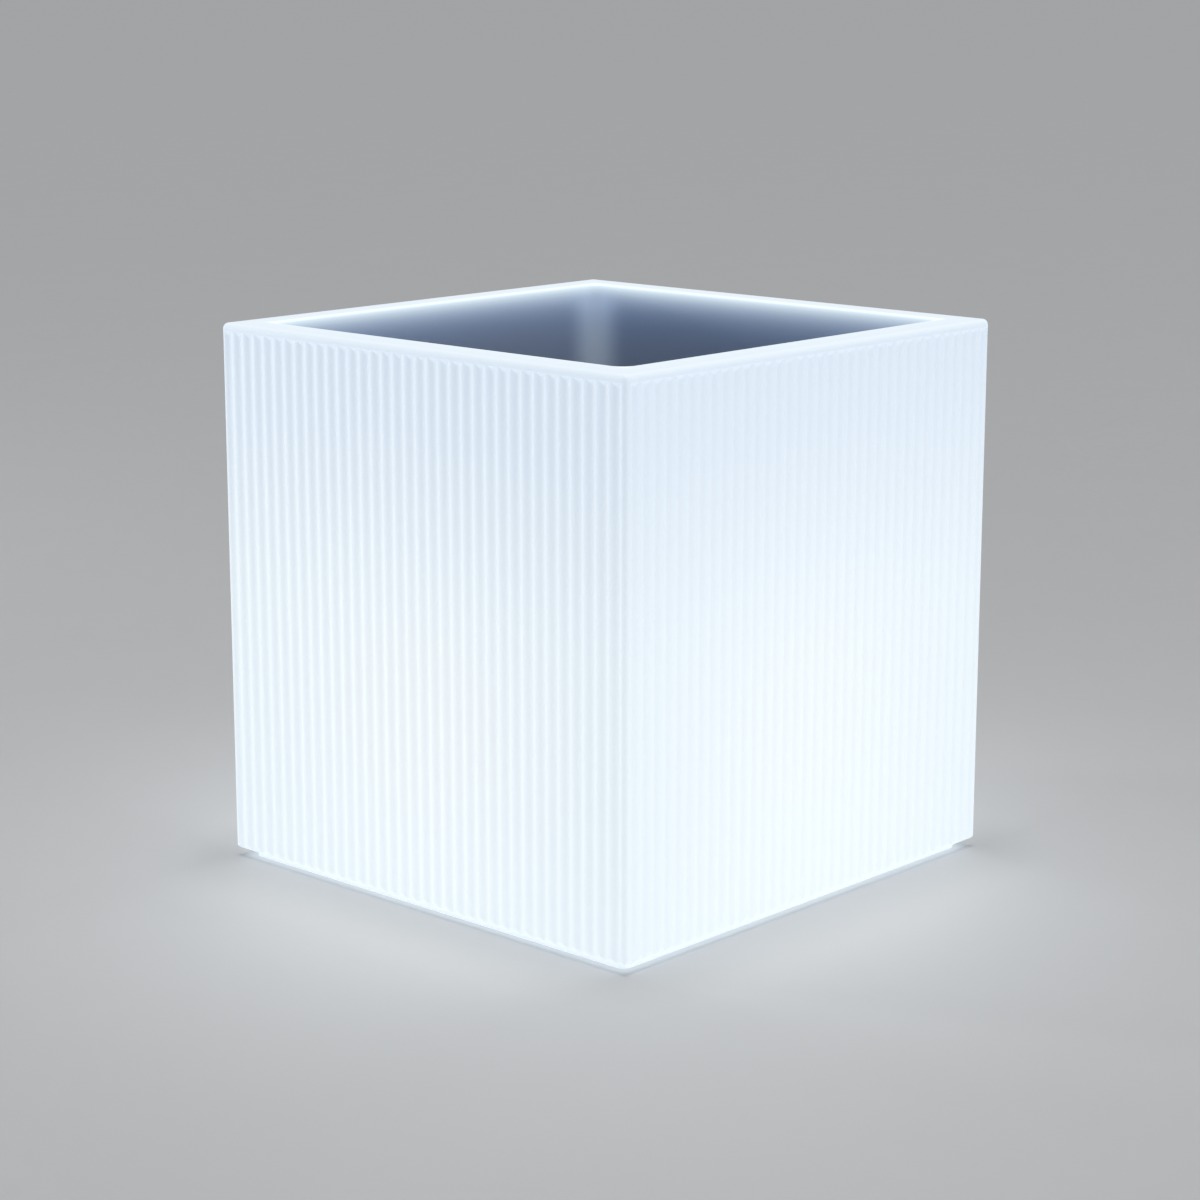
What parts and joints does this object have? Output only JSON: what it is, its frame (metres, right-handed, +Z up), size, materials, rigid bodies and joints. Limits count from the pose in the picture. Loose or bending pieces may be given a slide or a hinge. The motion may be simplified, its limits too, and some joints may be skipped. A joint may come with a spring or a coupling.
{
  "type": "led square planter",
  "caption": "Cube planter of frosted plastic that glows from inside, with fine upright ribs, a flat rim, a smooth inner pot and a battery lamp in its base.",
  "frame": {"origin": "centre of the footprint, on the plane that the planter stands on", "axes": "+Z up through the middle of the pot; X and Y square to the sides; the drain is towards +X and +Y"},
  "size_m": [0.394, 0.394, 0.4],
  "materials": {
    "glow_plastic": "frosted translucent plastic, lit from inside",
    "screw_steel": "stainless",
    "insert_brass": "turned",
    "seal_rubber": "moulded",
    "plug_rubber": "moulded",
    "grey_plastic": "moulded",
    "white_plastic": "moulded",
    "dome_plastic": "frosted, lit",
    "spreader_aluminium": "milled",
    "board_white": "solder mask",
    "led_lit": "lit",
    "board_green": "solder mask",
    "chip_black": "moulded",
    "cell_wrap": "shrink wrap",
    "nickel": "nickel",
    "foam_black": "closed-cell foam",
    "wire_red": "insulation",
    "button_rubber": "moulded",
    "lens_clear": "clear"
  },
  "bodies": {
    "planter": {"back_wall": "glow_plastic", "base_inserts": "insert_brass", "base_panel": "glow_plastic", "base_screws": "screw_steel", "base_seal": "seal_rubber", "battery_cells": "cell_wrap", "battery_contacts": "nickel", "battery_foam": "foam_black", "battery_holder": "grey_plastic", "battery_wires": "wire_red", "board_parts": "chip_black", "board_screws": "screw_steel", "bottom_flange": "glow_plastic", "cap_hinge_pin": "screw_steel", "charge_socket": "chip_black", "control_board": "board_green", "control_screws": "screw_steel", "diffuser_dome": "dome_plastic", "dome_seal": "seal_rubber", "drain_fitting": "grey_plastic", "drain_gasket": "seal_rubber", "drain_grommet": "seal_rubber", "drain_nut": "grey_plastic", "drain_sump": "glow_plastic", "flat_rim": "glow_plastic", "front_wall": "glow_plastic", "heat_spreader": "spreader_aluminium", "lead_connector": "white_plastic", "led_board": "board_white", "led_chips": "led_lit", "led_wires": "wire_red", "left_wall": "glow_plastic", "module_gasket": "seal_rubber", "module_housing": "white_plastic", "module_screws": "screw_steel", "plinth_ring": "glow_plastic", "pot_floor": "glow_plastic", "pot_walls": "glow_plastic", "right_wall": "glow_plastic", "screw_bosses": "glow_plastic", "socket_pin": "nickel", "status_lens": "lens_clear", "tact_switch": "chip_black"},
    "button": {"power_button": "button_rubber", "button_seal": "seal_rubber", "switch_plunger": "white_plastic"},
    "cap": {"port_cap": "button_rubber"},
    "plug": {"drain_plug": "plug_rubber"}
  },
  "joints": [
    {"name": "power_button_press", "type": "slide", "parent": "planter", "child": "button", "axis": [0, 0, 1], "range_m": [0, 0.0012], "stiffness_N_per_m": 800},
    {"name": "port_cap_hinge", "type": "hinge", "parent": "planter", "child": "cap", "pos_m": [-0.012, 0.042, 0.0025], "axis": [1, 0, 0], "range_deg": [0, 110]},
    {"name": "drain_plug_lift", "type": "slide", "parent": "planter", "child": "plug", "axis": [0, 0, 1], "range_m": [0, 0.04]}
  ]
}
